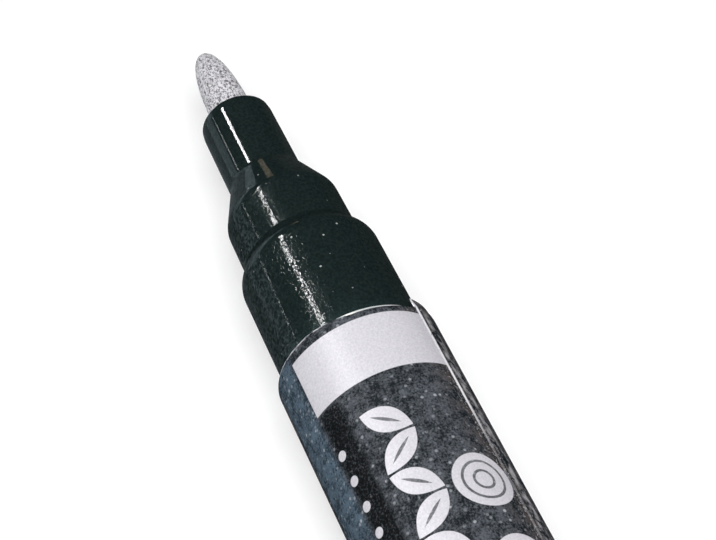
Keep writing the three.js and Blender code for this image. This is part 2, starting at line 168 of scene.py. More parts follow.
# Drawn aluminium: the drawing leaves fine lines along the tube, about 0.1 mm apart and 25 mm
# long, that spread the light across them and give the bare metal a satin look.
LINES_APART = 0.1
LINE_LENGTH = 25.0
aluminium, tree, shader = material("drawn aluminium")
stretched = add_node("Mapping", {
    "Vector": add_node("TexCoord").outputs["Object"],
    "Scale": (1 / (LINE_LENGTH * MM), 1 / (LINES_APART * MM), 1 / (LINES_APART * MM))})
lines = add_node("TexNoise", {"Vector": stretched, "Scale": 1.0, "Detail": 3.0})
set_node(shader, {
    "Base Color": linear("#d6d8da"), "Metallic": 1.0,
    "Roughness": add_node("MapRange", {"Value": lines, "To Min": 0.22, "To Max": 0.42}),
    "Normal": add_node("Bump", {"Height": lines, "Strength": 0.15, "Distance": 0.02 * MM})})

roll = [(-ROLL - ROLL_BACK + ROLL * math.cos(angle), TUBE - ROLL + ROLL * math.sin(angle))
        for angle in arc(90, ROLL_END, 12)]
tube = piece("barrel_tube", turned([
    (-BARREL, TUBE), *roll, (roll[-1][0] - ROLL_EDGE, LIP_BORE), (-LIP, LIP_BORE),
    (-LIP - LIP_STEP, BORE), (-BARREL, BORE)]))
dress(tube, aluminium)
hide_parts("barrel")
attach(tube, "barrel")


# The film is a thin printed plastic wrapped round the tube and shrunk a little way over its
# lip; near the lap it is cut a little askew and leaves the lip's metal bare. Its outer end laps
# over its inner end on one straight line along the barrel, where the cut edge stands up.
FILM = 7.726
FILM_WALL = 0.1
FILM_FACETS = 540
LAP_STEP = 0.05
LAP_START = math.radians(134)
LAP_END = math.radians(172)
LAP_FADE = math.radians(6)
FREE_CORNER = math.radians(168)
FREE_REACH = 0.8
SKEW_START = math.radians(45)
SKEW_FULL = math.radians(85)
SKEW_FLAT = 0.97
SKEW_BACK = 0.05


def clamp(share):
    """A share kept between 0 and 1."""
    return min(1, max(0, share))


shrunk = [(-LIP + LIP * math.cos(angle), FILM - LIP + LIP * math.sin(angle))
          for angle in arc(90, FILM_END, 11)]
shrunk_inside = [(at - FILM_WALL * (at + LIP) / LIP, radius - FILM_WALL * (radius - FILM + LIP) / LIP)
                 for at, radius in reversed(shrunk)]
straight = (-BARREL, -BARREL / 2, -1.5 * LIP, -1.2 * LIP)
mesh = turned([*((at, FILM) for at in straight), *shrunk, *shrunk_inside,
               *((at, FILM - FILM_WALL) for at in reversed(straight))], facets=FILM_FACETS)
for corner in mesh.verts:
    across = Vector((0, corner.co.y, corner.co.z - axis_height))
    angle = math.atan2(across.z, across.y) % (2 * math.pi)
    lap = clamp((LAP_END + LAP_FADE - angle) / LAP_FADE) if angle > LAP_START else 0
    skew = clamp((angle - SKEW_START) / (SKEW_FULL - SKEW_START)) if angle < LAP_START else 0
    bent = Vector((corner.co.x - rim, across.length)) / MM - Vector((-LIP, FILM - LIP))
    if bent.x > 0.001 and skew > 0:
        bend = math.atan2(bent.x, bent.y) * (1 - SKEW_FLAT * skew)
        corner.co.x = rim + (-LIP - SKEW_BACK * skew + bent.length * math.sin(bend)) * MM
        across = across.normalized() * (FILM - LIP + bent.length * math.cos(bend)) * MM
        corner.co.y, corner.co.z = across.y, across.z + axis_height
    corner.co += across.normalized() * LAP_STEP * MM * lap
    over = max(0, corner.co.x - rim + LIP * MM) / (LIP * MM)
    free = over * lap * clamp((FREE_CORNER - angle) / LAP_FADE)
    flat = FILM + LAP_STEP - (FILM_WALL if across.length < (FILM - FILM_WALL / 2) * MM else 0)
    corner.co.x += FREE_REACH * MM * free
    across = Vector((0, corner.co.y, corner.co.z - axis_height))
    corner.co += across.normalized() * free * max(0, flat * MM - across.length)
film = piece("printed_film", mesh)

# Printed polypropylene: slate ink with a grey fleck about 0.2 mm across in patches of about
# 1.1 mm, silver ink on top, and a semi-matt laminate that keeps its highlights soft.
FLECK = 0.2
PATCH = 1 / 0.9
BIT = 0.5
PRINT_EDGE = 0.05
BAND_FRONT = 1.47
BAND_REAR = 7.61
BAND_LEFT = math.radians(31)
BAND_RIGHT = math.radians(316)
MARGIN_END = math.radians(162)
# Angles round the film where reflections are painted on the slate: bluish up to the dots, nearly
# black in a strip beside them, and warm brown beside the lap.
BLUE_REFLECTION_END = math.radians(33)
DARK_REFLECTION_START = math.radians(30)
DARK_REFLECTION_END = math.radians(54)
BROWN_REFLECTION_START = math.radians(112)
ink, tree, shader = material("printed polypropylene film")
coords = add_node("TexCoord").outputs["Object"]
axes = add_node("SeparateXYZ", {"Vector": coords})
fine = add_node("TexNoise", {
    "Vector": coords, "Scale": 1 / (FLECK * MM), "Detail": 3.0, "Roughness": 0.65})
patchy = add_node("TexNoise", {
    "Vector": coords, "Scale": 1 / (PATCH * MM), "Detail": 3.0, "Roughness": 0.6})
bits = add_node("TexVoronoi", {"Vector": coords, "Scale": 1 / (BIT * MM)})
bit_kinds = add_node("SeparateColor", {"Color": bits.outputs["Color"]})

# Where a point of the film lies: how far behind the rim in millimetres, and its angle round.
inward = add_node("Math", {"operation": "SUBTRACT", 0: rim, 1: axes.outputs["X"]})
behind = add_node("Math", {"operation": "MULTIPLY", 0: inward, 1: 1 / MM})
height = add_node("Math", {"operation": "SUBTRACT", 0: axes.outputs["Z"], 1: axis_height})
half_turn = add_node("Math", {"operation": "ARCTAN2", 0: height, 1: axes.outputs["Y"]})
full_turn = add_node("Math", {"operation": "ADD", 0: half_turn, 1: 2 * math.pi})
turn = add_node("Math", {"operation": "MODULO", 0: full_turn, 1: 2 * math.pi})


def inside(depth, soft=PRINT_EDGE):
    """1 where a point lies deeper than 0 inside a printed shape, 0 outside, soft at its edge."""
    return add_node("Math", {"operation": "DIVIDE", "use_clamp": True, 0: depth, 1: soft})


def above(value, start, soft):
    """1 where a value is past its start, 0 short of it."""
    return inside(add_node("Math", {"operation": "SUBTRACT", 0: value, 1: start}), soft)


def below(value, end, soft):
    """1 where a value is short of its end, 0 past it."""
    return inside(add_node("Math", {"operation": "SUBTRACT", 0: end, 1: value}), soft)


def between(value, start, end, soft=PRINT_EDGE):
    """1 where a value lies between two others, 0 elsewhere."""
    return add_node("Math", {
        "operation": "MINIMUM", 0: above(value, start, soft), 1: below(value, end, soft)})


def overlap(shape, *others):
    """How much of a point lies in all of these shapes; a plain number thins them."""
    for other in others:
        shape = add_node("Math", {"operation": "MULTIPLY", 0: shape, 1: other})
    return shape


def union(shape, *others):
    """How much of a point lies in any of these shapes."""
    for other in others:
        shape = add_node("Math", {"operation": "MAXIMUM", 0: shape, 1: other})
    return shape


def left_by(shape, share=1.0, whole=1.0):
    """What a share of a shape leaves of the whole."""
    return add_node("Math", {"operation": "MULTIPLY_ADD", 0: shape, 1: -share, 2: whole})


def aside(angle):
    """How far round the film a point lies past a line along the barrel, in millimetres."""
    past = add_node("Math", {"operation": "SUBTRACT", 0: turn, 1: angle})
    return add_node("Math", {"operation": "MULTIPLY", 0: past, 1: FILM})


def row(line, start, step, lean=0.0):
    """A point's place from the nearest mark of a row: along the mark and across it. The marks
    lean to one side and the other in turn."""
    gone = add_node("Math", {"operation": "SUBTRACT", 0: behind, 1: start})
    count = add_node("Math", {"operation": "DIVIDE", 0: gone, 1: step})
    share = add_node("Math", {"operation": "FRACT", 0: count})
    centred = add_node("Math", {"operation": "SUBTRACT", 0: share, 1: 0.5})
    down = add_node("Math", {"operation": "MULTIPLY", 0: centred, 1: step})
    pairs = add_node("Math", {"operation": "MULTIPLY", 0: count, 1: 0.5})
    pair_share = add_node("Math", {"operation": "FRACT", 0: pairs})
    doubled = add_node("Math", {"operation": "MULTIPLY", 0: pair_share, 1: 2.0})
    odd = add_node("Math", {"operation": "FLOOR", 0: doubled})
    over = overlap(aside(line), left_by(odd, 2.0))
    cosine, sine = math.cos(math.radians(lean)), math.sin(math.radians(lean))
    along = add_node("Math", {
        "operation": "MULTIPLY_ADD", 0: down, 1: cosine, 2: overlap(over, sine)})
    across = add_node("Math", {
        "operation": "MULTIPLY_ADD", 0: over, 1: cosine, 2: overlap(down, -sine)})
    return along, across


def leaf(at, length, width):
    """Depth inside a pointed leaf."""
    along, across = at
    edge = left_by(overlap(along, along), 2 * width / length ** 2, width / 2)
    offset = add_node("Math", {"operation": "ABSOLUTE", 0: across})
    return add_node("Math", {"operation": "SUBTRACT", 0: edge, 1: offset})


def spot(at, size):
    """Depth inside a round spot."""
    along, across = at
    squares = add_node("Math", {
        "operation": "MULTIPLY_ADD", 0: across, 1: across, 2: overlap(along, along)})
    reach = add_node("Math", {"operation": "SQRT", 0: squares})
    return add_node("Math", {"operation": "SUBTRACT", 0: size / 2, 1: reach})


# The print: a silver band near the rim, and behind it rows of silver leaves, rings and dots.
LEAF_LINE = math.radians(73)
LEAF_START = 10.4
LEAF_STEP = 3.3
LEAF_LEAN = 52
LEAF_LENGTH = 4.9
LEAF_WIDTH = 2.5
VEIN_LENGTH = 3.0
VEIN_WIDTH = 0.36
RING_LINE = math.radians(113)
RING_START = 16.2
RING_STEP = 8.4
RING_END = 58.2
RING_SIZE = 5.6
DOT_LINE = math.radians(36)
DOT_START = 11.0
DOT_STEP = 2.7
DOT_SIZE = 1.0
ROWS_END = 62.0
leaf_place = row(LEAF_LINE, LEAF_START, LEAF_STEP, LEAF_LEAN)
vein = inside(leaf(leaf_place, VEIN_LENGTH, VEIN_WIDTH), 0.04)
leaves = overlap(inside(leaf(leaf_place, LEAF_LENGTH, LEAF_WIDTH)), left_by(vein, 0.8))
ring_depth = spot(row(RING_LINE, RING_START, RING_STEP), RING_SIZE)
ring_grooves = union(between(ring_depth, 0.75, 1.05), between(ring_depth, 1.75, 2.05))
print_rings = overlap(inside(ring_depth), left_by(ring_grooves, 0.85),
                      between(behind, RING_START, RING_END, 0.02))
dots = inside(spot(row(DOT_LINE, DOT_START, DOT_STEP), DOT_SIZE))
rows = overlap(union(leaves, dots), between(behind, LEAF_START, ROWS_END, 0.02))
band = overlap(between(behind, BAND_FRONT, BAND_REAR),
               union(between(turn, BAND_LEFT, LAP_START, 0.005),
                     between(turn, MARGIN_END, BAND_RIGHT, 0.005)))
silver = union(rows, print_rings, band)

# The slate ink lies in patches with scattered light bits. A bluish reflection is painted on it up
# to the dots and a warm brown reflection beside the lap, and one strip beside the dots is
# painted nearly black as a dark reflection.
mottle = add_node("Math", {
    "operation": "MULTIPLY_ADD", 0: fine, 1: 0.55, 2: overlap(patchy, 0.45)})
slate = add_node("ValToRGB", {"Fac": mottle})
for stop, position, code in zip(slate.color_ramp.elements, (0.42, 0.6), ("#1e2327", "#5e6268")):
    stop.position = position
    stop.color = linear(code)
# The mottled strength of the bluish reflection painted on the slate up to the dots.
summed = add_node("Math", {"operation": "ADD", 0: fine, 1: patchy})
cloudiness = above(overlap(summed, 0.5), 0.43, 0.14)
cloud = add_node("Math", {"operation": "MULTIPLY_ADD", 0: cloudiness, 1: 0.42, 2: 0.18})
painted_blue_reflection = overlap(below(turn, BLUE_REFLECTION_END, 0.1), cloud)
shade = above(patchy, 0.38, 0.25)
light_bits = overlap(above(bit_kinds.outputs["Red"], 0.35, 0.5), below(bits, 0.36, 0.16), shade)
# A warm brown reflection painted on the slate beside the lap.
painted_brown_reflection = overlap(between(turn, BROWN_REFLECTION_START, MARGIN_END, 0.35), overlap(shade, 0.6))
# A dark reflection painted nearly black in a strip beside the dots, with the flecks showing through.
dark_reflection_strength = overlap(above(behind, BAND_REAR, 0.4), left_by(above(fine, 0.48, 0.16), 0.32, 0.96))
painted_dark_reflection = overlap(between(turn, DARK_REFLECTION_START, DARK_REFLECTION_END, 0.09), dark_reflection_strength)
shine = add_node("ValToRGB", {"Fac": fine})
for stop, position, code in zip(shine.color_ramp.elements, (0.3, 0.7), ("#c8c6cd", "#dfdde1")):
    stop.position = position
    stop.color = linear(code)

# Pale highlight lines are painted along the film's cut edge at the lap and along its front edge.
# Picking at the lap has scuffed the film beside it, and a little further from the lap a light
# sheen is painted on as a highlight.
past_lap = aside(LAP_START)
from_lap = add_node("Math", {"operation": "ABSOLUTE", 0: past_lap})
picked = overlap(below(from_lap, 1.1, 0.9), above(fine, 0.6, 0.05), 0.7)
# A highlight line painted pale along the lap's cut edge.
cut_edge_highlight = overlap(between(past_lap, -0.05, 0.28), above(fine, 0.25, 0.15),
                   union(below(behind, 18.0, 7.0), 0.15))
# A light sheen painted on as a highlight a little way past the lap.
painted_sheen = overlap(between(past_lap, 0.45, 1.8, 0.4), between(behind, 0.6, ROWS_END, 1.5),
                above(patchy, 0.4, 0.2), 0.5)
# A broken highlight line painted pale along the film's front edge.
front_edge_highlight = overlap(below(behind, 0.6, 0.12), above(patchy, 0.38, 0.08),
                     left_by(between(turn, LAP_START, LAP_END, 0.02)), 0.9)
# The real scuffs together with the painted highlights.
scuffs_and_painted_highlights = union(cut_edge_highlight, picked, front_edge_highlight, painted_sheen)

# Over the slate go the painted blue reflection, the light bits, the painted brown reflection, the
# painted dark strip, the silver ink, and the scuffs with the painted highlights.
under = slate
for colour, amount in ((linear("#607a8e"), painted_blue_reflection), (linear("#b2b6bc"), light_bits),
                       (linear("#4a3b31"), painted_brown_reflection), (linear("#06090b"), painted_dark_reflection),
                       (shine, silver), (linear("#efeef2"), scuffs_and_painted_highlights)):
    under = add_node("Mix", {"data_type": "RGBA", "A": under, "B": colour, "Factor": amount})
set_node(shader, {
    "Base Color": under, "Metallic": overlap(silver, 0.0028), "Roughness": 0.45,
    "Specular IOR Level": 0.0, "Coat Weight": 0.009, "Coat Roughness": 0.72,
    "Normal": add_node("Bump", {"Height": fine, "Strength": 0.2, "Distance": 0.02 * MM})})
dress(film, ink)
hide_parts("label_film")
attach(film, "barrel")


# Two mixing balls of polished stainless steel lie in the paint and stir it when the pen is
# shaken. Wet paint leaves a faint milky skin on them, in patches of about 1.4 mm, so that
# their shine is uneven.
SKIN = 1 / 0.7
steel, tree, shader = material("polished stainless steel")
skin = add_node("TexNoise", {
    "Vector": add_node("TexCoord").outputs["Object"], "Scale": 1 / (SKIN * MM), "Detail": 4.0})
set_node(shader, {
    "Base Color": linear("#c9c9cb"), "Metallic": 1.0,
    "Roughness": add_node("MapRange", {"Value": skin, "To Min": 0.06, "To Max": 0.3})})
for node, body in (("mixing_ball_front", "front_ball"), ("mixing_ball_rear", "rear_ball")):
    low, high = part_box(node)
    mesh = bmesh.new()
    bmesh.ops.create_icosphere(mesh, subdivisions=5, radius=(high.z - low.z) / 2)
    bmesh.ops.translate(mesh, vec=(low + high) / 2, verts=mesh.verts)
    ball = piece(node + "_steel", mesh)
    dress(ball, steel)
    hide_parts(node)
    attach(ball, body)


# The tail plug is a black polypropylene moulding pressed into the barrel. Its flange closes
# the tube's end, and the cap is pushed over its short hollow spigot when the pen is in use.
PLUG_FRONT = -75.0
PLUG_WALL = 3.2
PLUG_HOLLOW = 5.0
FLANGE_REAR = -85.6
FLANGE_GAP = 0.05
TAIL_END = -94.6
TAIL_DRAFT = 0.03
COLLAR = 6.88
SPIGOT = 7.05
SEAL_GROOVE = 6.2
SEAL_SETBACK = 4.0
SEAL_HALF = 0.9


def rounded(corners, steps=6):
    """Outline points from (place, radius, cut) corners, each rounded over its cut."""
    points = []
    for index, (at, radius, cut) in enumerate(corners):
        corner = Vector((at, radius))
        if not cut:
            points.append((at, radius))
            continue
        back = (Vector(corners[index - 1][:2]) - corner).normalized() * cut
        ahead = (Vector(corners[(index + 1) % len(corners)][:2]) - corner).normalized() * cut
        for step in range(steps + 1):
            share = step / steps
            points.append(tuple(corner + back * (1 - share) ** 2 + ahead * share ** 2))
    return points


# Moulded polypropylene: a spark-eroded mould leaves a grain about 0.1 mm across, drawn 2.4
# times as coarse so that it shows. The flat lands between the grains mirror sharply and the
# grains scatter, so that a highlight breaks into sparks in a soft haze. The polished kind comes
# from the smooth part of the mould and mirrors the lamps whole. Handling dulls both in patches
# of about 0.3 mm and leaves a few pale dust specks, at most one to a cell of about 1.1 mm.
GRAIN = 0.1
COARSENED = 2.4
LANDS = 0.525
HANDLED = 1 / 3.8
DUST_CELL = 1 / 0.9
blacks = []
for name, dull, bright, depth, least in (
        ("moulded black polypropylene", 0.028, 0.032, 0.066, 0.1),
        ("polished black polypropylene", 0.034, 0.042, 0.003, 0.75)):
    black, tree, shader = material(name)
    coords = add_node("TexCoord").outputs["Object"]
    grain = add_node("TexNoise", {
        "Vector": coords, "Scale": 1 / (COARSENED * GRAIN * MM), "Detail": 3.0, "Roughness": 0.6})
    rough = add_node("MapRange", {
        "Value": grain, "From Min": 0.35, "From Max": 0.65, "To Min": 0.2, "To Max": 0.45})
    gloss = add_node("MapRange", {
        "Value": grain, "From Min": 0.45, "From Max": 0.6, "To Min": bright, "To Max": dull})
    handled = add_node("TexNoise", {"Vector": coords, "Scale": 1 / (HANDLED * MM), "Detail": 3.0})
    rubbed = add_node("MapRange", {
        "Value": handled, "From Min": 0.42, "From Max": 0.6, "To Min": least, "To Max": 1.2})
    cloudy = add_node("MapRange", {"Value": handled, "From Min": 0.38, "From Max": 0.62})
    tone = add_node("Mix", {
        "data_type": "RGBA", "A": linear("#162020"), "B": linear("#1f2a29"), "Factor": cloudy})
    cells = add_node("TexVoronoi", {"Vector": coords, "Scale": 1 / (DUST_CELL * MM)})
    cell_kinds = add_node("SeparateColor", {"Color": cells.outputs["Color"]})
    specks = add_node("MapRange", {"Value": cells, "From Min": 0.1, "From Max": 0.06})
    few = add_node("MapRange", {
        "Value": cell_kinds.outputs["Red"], "From Min": 0.82, "From Max": 1.0})
    tint = add_node("Mix", {
        "data_type": "RGBA", "A": tone, "B": linear("#c9cccc"), "Factor": overlap(specks, few)})
    bump = add_node("Bump", {
        "Height": union(grain, LANDS), "Strength": 1.0, "Distance": depth * MM})
    set_node(shader, {
        "Base Color": tint, "Roughness": rough, "Specular IOR Level": 0.0, "Normal": bump,
        "Coat Weight": overlap(gloss, rubbed), "Coat Roughness": 0.05, "Coat Normal": bump})
    blacks.append(black)
grained_black, polished_black = blacks

plug_groove = PLUG_FRONT - SEAL_SETBACK
plug = piece("tail_plug_moulding", turned(rounded([
    (PLUG_FRONT - PLUG_WALL, 0, 0), (PLUG_FRONT - PLUG_WALL, PLUG_HOLLOW, 0.3),
    (TAIL_END, PLUG_HOLLOW, 0.2), (TAIL_END, COLLAR - TAIL_DRAFT, 0.5),
    (FLANGE_REAR, COLLAR, 0.1), (FLANGE_REAR, FILM, 0.25),
    (-BARREL - FLANGE_GAP, FILM, 0.15), (-BARREL - FLANGE_GAP, SPIGOT, 0),
    (plug_groove - SEAL_HALF, SPIGOT, 0.05), (plug_groove - SEAL_HALF, SEAL_GROOVE, 0),
    (plug_groove + SEAL_HALF, SEAL_GROOVE, 0), (plug_groove + SEAL_HALF, SPIGOT, 0.05),
    (PLUG_FRONT, SPIGOT, 0.4), (PLUG_FRONT, 0, 0)])))
dress(plug, grained_black)
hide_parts("tail_plug")
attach(plug, "barrel")


# Seal rings of nitrile rubber close the plug and the nose against the paint. They are moulded
# with a fine matt skin, about 0.2 mm in the grain.
RUBBER_GRAIN = 0.2
rubber, tree, shader = material("nitrile rubber")
skin = add_node("TexNoise", {
    "Vector": add_node("TexCoord").outputs["Object"], "Scale": 1 / (RUBBER_GRAIN * MM),
    "Detail": 3.0})
set_node(shader, {
    "Base Color": linear("#1b1b1c"),
    "Roughness": add_node("MapRange", {"Value": skin, "To Min": 0.6, "To Max": 0.9}),
    "Normal": add_node("Bump", {"Height": skin, "Strength": 0.3, "Distance": 0.02 * MM})})
for node in ("tail_seal_ring", "nose_seal_ring", "valve_seat"):
    dress(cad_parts[node], rubber)


# The valve's housing and plunger are moulded in natural acetal. The housing holds the rubber
# seat against the nose, and the plunger slides in it behind the nib.
# Natural acetal is milky, with faint clouds of about 2 mm, and a little see-through where thin.
MILK = 2.0
acetal, tree, shader = material("natural acetal")
milk = add_node("TexNoise", {
    "Vector": add_node("TexCoord").outputs["Object"], "Scale": 1 / (MILK * MM), "Detail": 3.0})
set_node(shader, {
    "Base Color": add_node("Mix", {
        "data_type": "RGBA", "A": linear("#dedbd2"), "B": linear("#efede7"), "Factor": milk}),
    "Roughness": add_node("MapRange", {"Value": milk, "To Min": 0.32, "To Max": 0.5}),
    "IOR": 1.48, "Subsurface Weight": 0.2, "Subsurface Scale": 0.5 * MM})
for node in ("valve_housing", "valve_plunger"):
    dress(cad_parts[node], acetal)


# The return spring is wound from stainless wire. It shuts the valve when the nib is let go,
# and is squeezed against the housing's floor as the nib is pressed.
# Drawn wire has fine marks, about 0.1 mm across, that break up its shine.
DRAW_MARK = 1 / 9.0
WIRE = 0.6
WIRE_SIDES = 12
TURNS = 8
COIL_STEPS = 40


def drawn_through(sections):
    """A bmesh drawn through closed sections, each a list of points, with both ends filled."""
    mesh = bmesh.new()
    last = None
    for section in sections:
        ring = [mesh.verts.new(point) for point in section]
        if last:
            for corner in range(len(ring)):
                following = (corner + 1) % len(ring)
                mesh.faces.new((last[corner], last[following], ring[following], ring[corner]))
        else:
            mesh.faces.new(ring)
        last = ring
    mesh.faces.new(last)
    return mesh


wire_steel, tree, shader = material("drawn stainless wire")
marks = add_node("TexNoise", {
    "Vector": add_node("TexCoord").outputs["Object"], "Scale": 1 / (DRAW_MARK * MM), "Detail": 2.0})
set_node(shader, {
    "Base Color": linear("#b9babd"), "Metallic": 1.0,
    "Roughness": add_node("MapRange", {"Value": marks, "To Min": 0.18, "To Max": 0.36})})
spring_low, spring_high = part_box("valve_spring")
coil_radius = (spring_high.y - spring_low.y) / 2 - WIRE * MM / 2
coil_length = spring_high.x - spring_low.x - WIRE * MM
wire_around = [2 * math.pi * corner / WIRE_SIDES for corner in range(WIRE_SIDES)]
sections = []
for step in range(TURNS * COIL_STEPS + 1):
    share = step / (TURNS * COIL_STEPS)
    angle = 2 * math.pi * TURNS * share
    outward = Vector((0, math.sin(angle), math.cos(angle)))
    centre = outward * coil_radius + Vector((
        spring_high.x - WIRE * MM / 2 - coil_length * share, 0, axis_height))
    onward = Vector((-coil_length / (2 * math.pi * TURNS), coil_radius * math.cos(angle),
                     -coil_radius * math.sin(angle))).normalized()
    side = onward.cross(outward)
    sections.append([centre + WIRE * MM / 2 * (outward * math.cos(part) + side * math.sin(part))
                     for part in wire_around])
spring = piece("valve_return_spring", drawn_through(sections))
dress(spring, wire_steel)
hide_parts("valve_spring")
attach(spring, "barrel")
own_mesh(spring)


# The nose is one black moulding in three steps: a collar as wide as the tube's lip, a middle
# step, and the holder round the nib. Its corners are softly rounded and its front edge is cut
# off at a small angle. The collar's round, the cone and the holder are polished.
NOSE_REAR = -13.0
NOSE_HOLLOW = 5.25
FELT_BORE = 4.3
FELT_REAR = 3.6
FELT_FRONT = 17.9
NIB_BORE = 2.27
LIP_PLAY = 0.25
COLLAR_CORNER = 11.47
MIDDLE = 5.7
MIDDLE_START = 13.33
MIDDLE_CORNER = 18.55
HOLDER = 3.63
HOLDER_START = 23.06
STEP_DRAFT = 0.06
FRONT_ROUND = 1.0
FRONT_DRAFT = 0.1
FRONT_CUT = 0.3
FRONT_CUT_DEPTH = 0.36
POLISHED_HALF = 0.45
POLISHED_BACK = 0.32
nose_front = (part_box("nose")[1].x - rim) / MM
nose_groove = NOSE_REAR + SEAL_SETBACK
nose = piece("nose_moulding", turned(rounded([
    (NOSE_REAR, NOSE_HOLLOW, 0), (NOSE_REAR, SPIGOT, 0.3),
    (nose_groove - SEAL_HALF, SPIGOT, 0.05), (nose_groove - SEAL_HALF, SEAL_GROOVE, 0),
    (nose_groove + SEAL_HALF, SEAL_GROOVE, 0), (nose_groove + SEAL_HALF, SPIGOT, 0.05),
    (-LIP - LIP_PLAY, SPIGOT, 0), (-LIP, COLLAR, 0), (COLLAR_CORNER, COLLAR - STEP_DRAFT, 0.67),
    (MIDDLE_START, MIDDLE, 0.12), (MIDDLE_CORNER, MIDDLE - STEP_DRAFT, 0.4),
    (HOLDER_START, HOLDER + STEP_DRAFT, 0.25), (nose_front - FRONT_ROUND, HOLDER, 0.1),
    (nose_front - FRONT_CUT, HOLDER - FRONT_DRAFT, 0.1),
    (nose_front, HOLDER - FRONT_CUT_DEPTH, 0.1), (nose_front, NIB_BORE, 0.15),
    (FELT_FRONT, NIB_BORE, 0), (FELT_FRONT, FELT_BORE, 0), (FELT_REAR, FELT_BORE, 0),
    (FELT_REAR, NOSE_HOLLOW, 0)], steps=8), facets=256), sharp=30)
dress(nose, grained_black, polished_black)
for face in nose.data.polygons:
    at = (face.center.x - rim) / MM
    if abs(at - COLLAR_CORNER) < POLISHED_HALF or at > MIDDLE_CORNER - POLISHED_BACK:
        face.material_index = 1
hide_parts("nose")
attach(nose, "barrel")


# The nib is a bullet of bonded acrylic fibre, ground to its point and open all through. An
# overflow felt of the same fibre lies round it inside the nose. The gaps between the fibres,
# about 0.2 mm apart, show as a net of dark flecks, a little drawn out along the nib.
FIBRE = 0.2
DRAWN_OUT = 0.7
NIB = 2.15
NIB_POINT = 9.2
NIB_FULLNESS = 2.3
NIB_RINGS = 70
STEM_RINGS = 60
TUFT = 1.6
TUFT_RISE = 0.035
TUFT_SUNK = 0.02
felt, tree, shader = material("bonded acrylic fibre")
lengthwise = add_node("Mapping", {
    "Vector": add_node("TexCoord").outputs["Object"], "Scale": (DRAWN_OUT, 1.0, 1.0)})
gaps = add_node("TexNoise", {
    "Vector": lengthwise, "Scale": 1 / (FIBRE * MM), "Detail": 2.0, "Distortion": 1.0})
net = add_node("ValToRGB", {"Fac": gaps})
for stop, position, code in zip(net.color_ramp.elements, (0.38, 0.55), ("#5d5b62", "#e3e1e5")):
    stop.position = position
    stop.color = linear(code)
set_node(shader, {
    "Base Color": net, "Roughness": 0.95, "Specular IOR Level": 0.05, "Sheen Weight": 0.2,
    "Normal": add_node("Bump", {"Height": gaps, "Strength": 0.7, "Distance": 0.06 * MM})})

nib_low, nib_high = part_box("nib")
nib_rear = (nib_low.x - rim) / MM
shoulder = (nib_high.x - rim) / MM - NIB_POINT
outline = [(nib_rear, 0), (nib_rear, NIB)]
outline += [(nib_rear + (shoulder - nib_rear) * step / STEM_RINGS, NIB)
            for step in range(1, STEM_RINGS)]
for step in range(NIB_RINGS + 1):
    angle = math.pi / 2 * step / NIB_RINGS
    forward = shoulder + NIB_POINT * math.sin(angle) ** (2 / NIB_FULLNESS)
    radius = NIB * math.cos(angle) ** (2 / NIB_FULLNESS)
    outline.append((forward, 0 if step == NIB_RINGS else radius))
mesh = turned(outline, facets=128)
for corner in mesh.verts:
    out = Vector((0, corner.co.y, corner.co.z - axis_height))
    rise = noise.noise(corner.co / (FIBRE * MM * TUFT))
    corner.co += out.normalized() * (rise * TUFT_RISE - TUFT_SUNK) * MM
nib = piece("felt_nib", mesh)
dress(nib, felt)
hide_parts("nib")
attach(nib, "nib")
dress(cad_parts["overflow_felt"], felt)


# The cap is a black moulding with its clip in one piece, pushed over the tail while the pen
# writes. A shallow recess in its end takes the colour disc.
CAP_MOUTH = -85.65
CAP_END = -132.21
CAP = 7.73
CAP_BORE = 7.03
CAP_FLOOR = -130.11
DISC = 5.5
RECESS = 0.85
RECESS_GAP = 0.05
cap = piece("cap_shell", turned(rounded([
    (CAP_FLOOR, 0, 0), (CAP_FLOOR, CAP_BORE, 0.2), (CAP_MOUTH, CAP_BORE, 0.2),
    (CAP_MOUTH, CAP, 0.25), (CAP_END, CAP, 0.9), (CAP_END, DISC + RECESS_GAP, 0.06),
    (CAP_END + RECESS, DISC + RECESS_GAP, 0), (CAP_END + RECESS, 0, 0)], steps=8), facets=256))
dress(cap, grained_black)
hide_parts("cap")
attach(cap, "cap")

# The clip springs from a root on the cap's side. Its free end, the toe, is rounded and a little
# lifted, and has a bead on its inner side that grips a pocket's edge.
CLIP_SIDE = math.radians(-140.5)
CLIP_REAR = -129.21
CLIP_FRONT = -99.21
CLIP_REACH = 10.0
CLIP_INSIDE = 8.8
CLIP_WIDTH = 3.4
CLIP_TAPER = 0.18
CLIP_SQUARE = 0.4
ROOT_LENGTH = 5.3
ROOT_SOFT = 0.22
ROOT_DEPTH = 7.55
HEEL_DROP = 2.2
HEEL_LENGTH = 2.4
HEEL_ROUND = 0.6
HEEL_NARROWED = 0.25
TOE_DROP = 0.9
TOE_LENGTH = 2.0
TOE_ROUND = 1.4
TOE_NARROWED = 0.98
TOE_LIFT = 0.6
LIFT_LENGTH = 0.7
BEAD_DEPTH = 8.05
BEAD_MIDDLE = 1.9
BEAD_HALF = 0.85
STATIONS = 90
CROWDED = 0.12
CLIP_SIDES = 32


def near(distance, length):
    """1 at an end of the clip, falling off to 0 over a length."""
    return max(0, 1 - distance / length) ** 2


def squared(wave):
    """A sine or cosine pushed outwards, for a section with rounded corners."""
    return math.copysign(abs(wave) ** CLIP_SQUARE, wave)


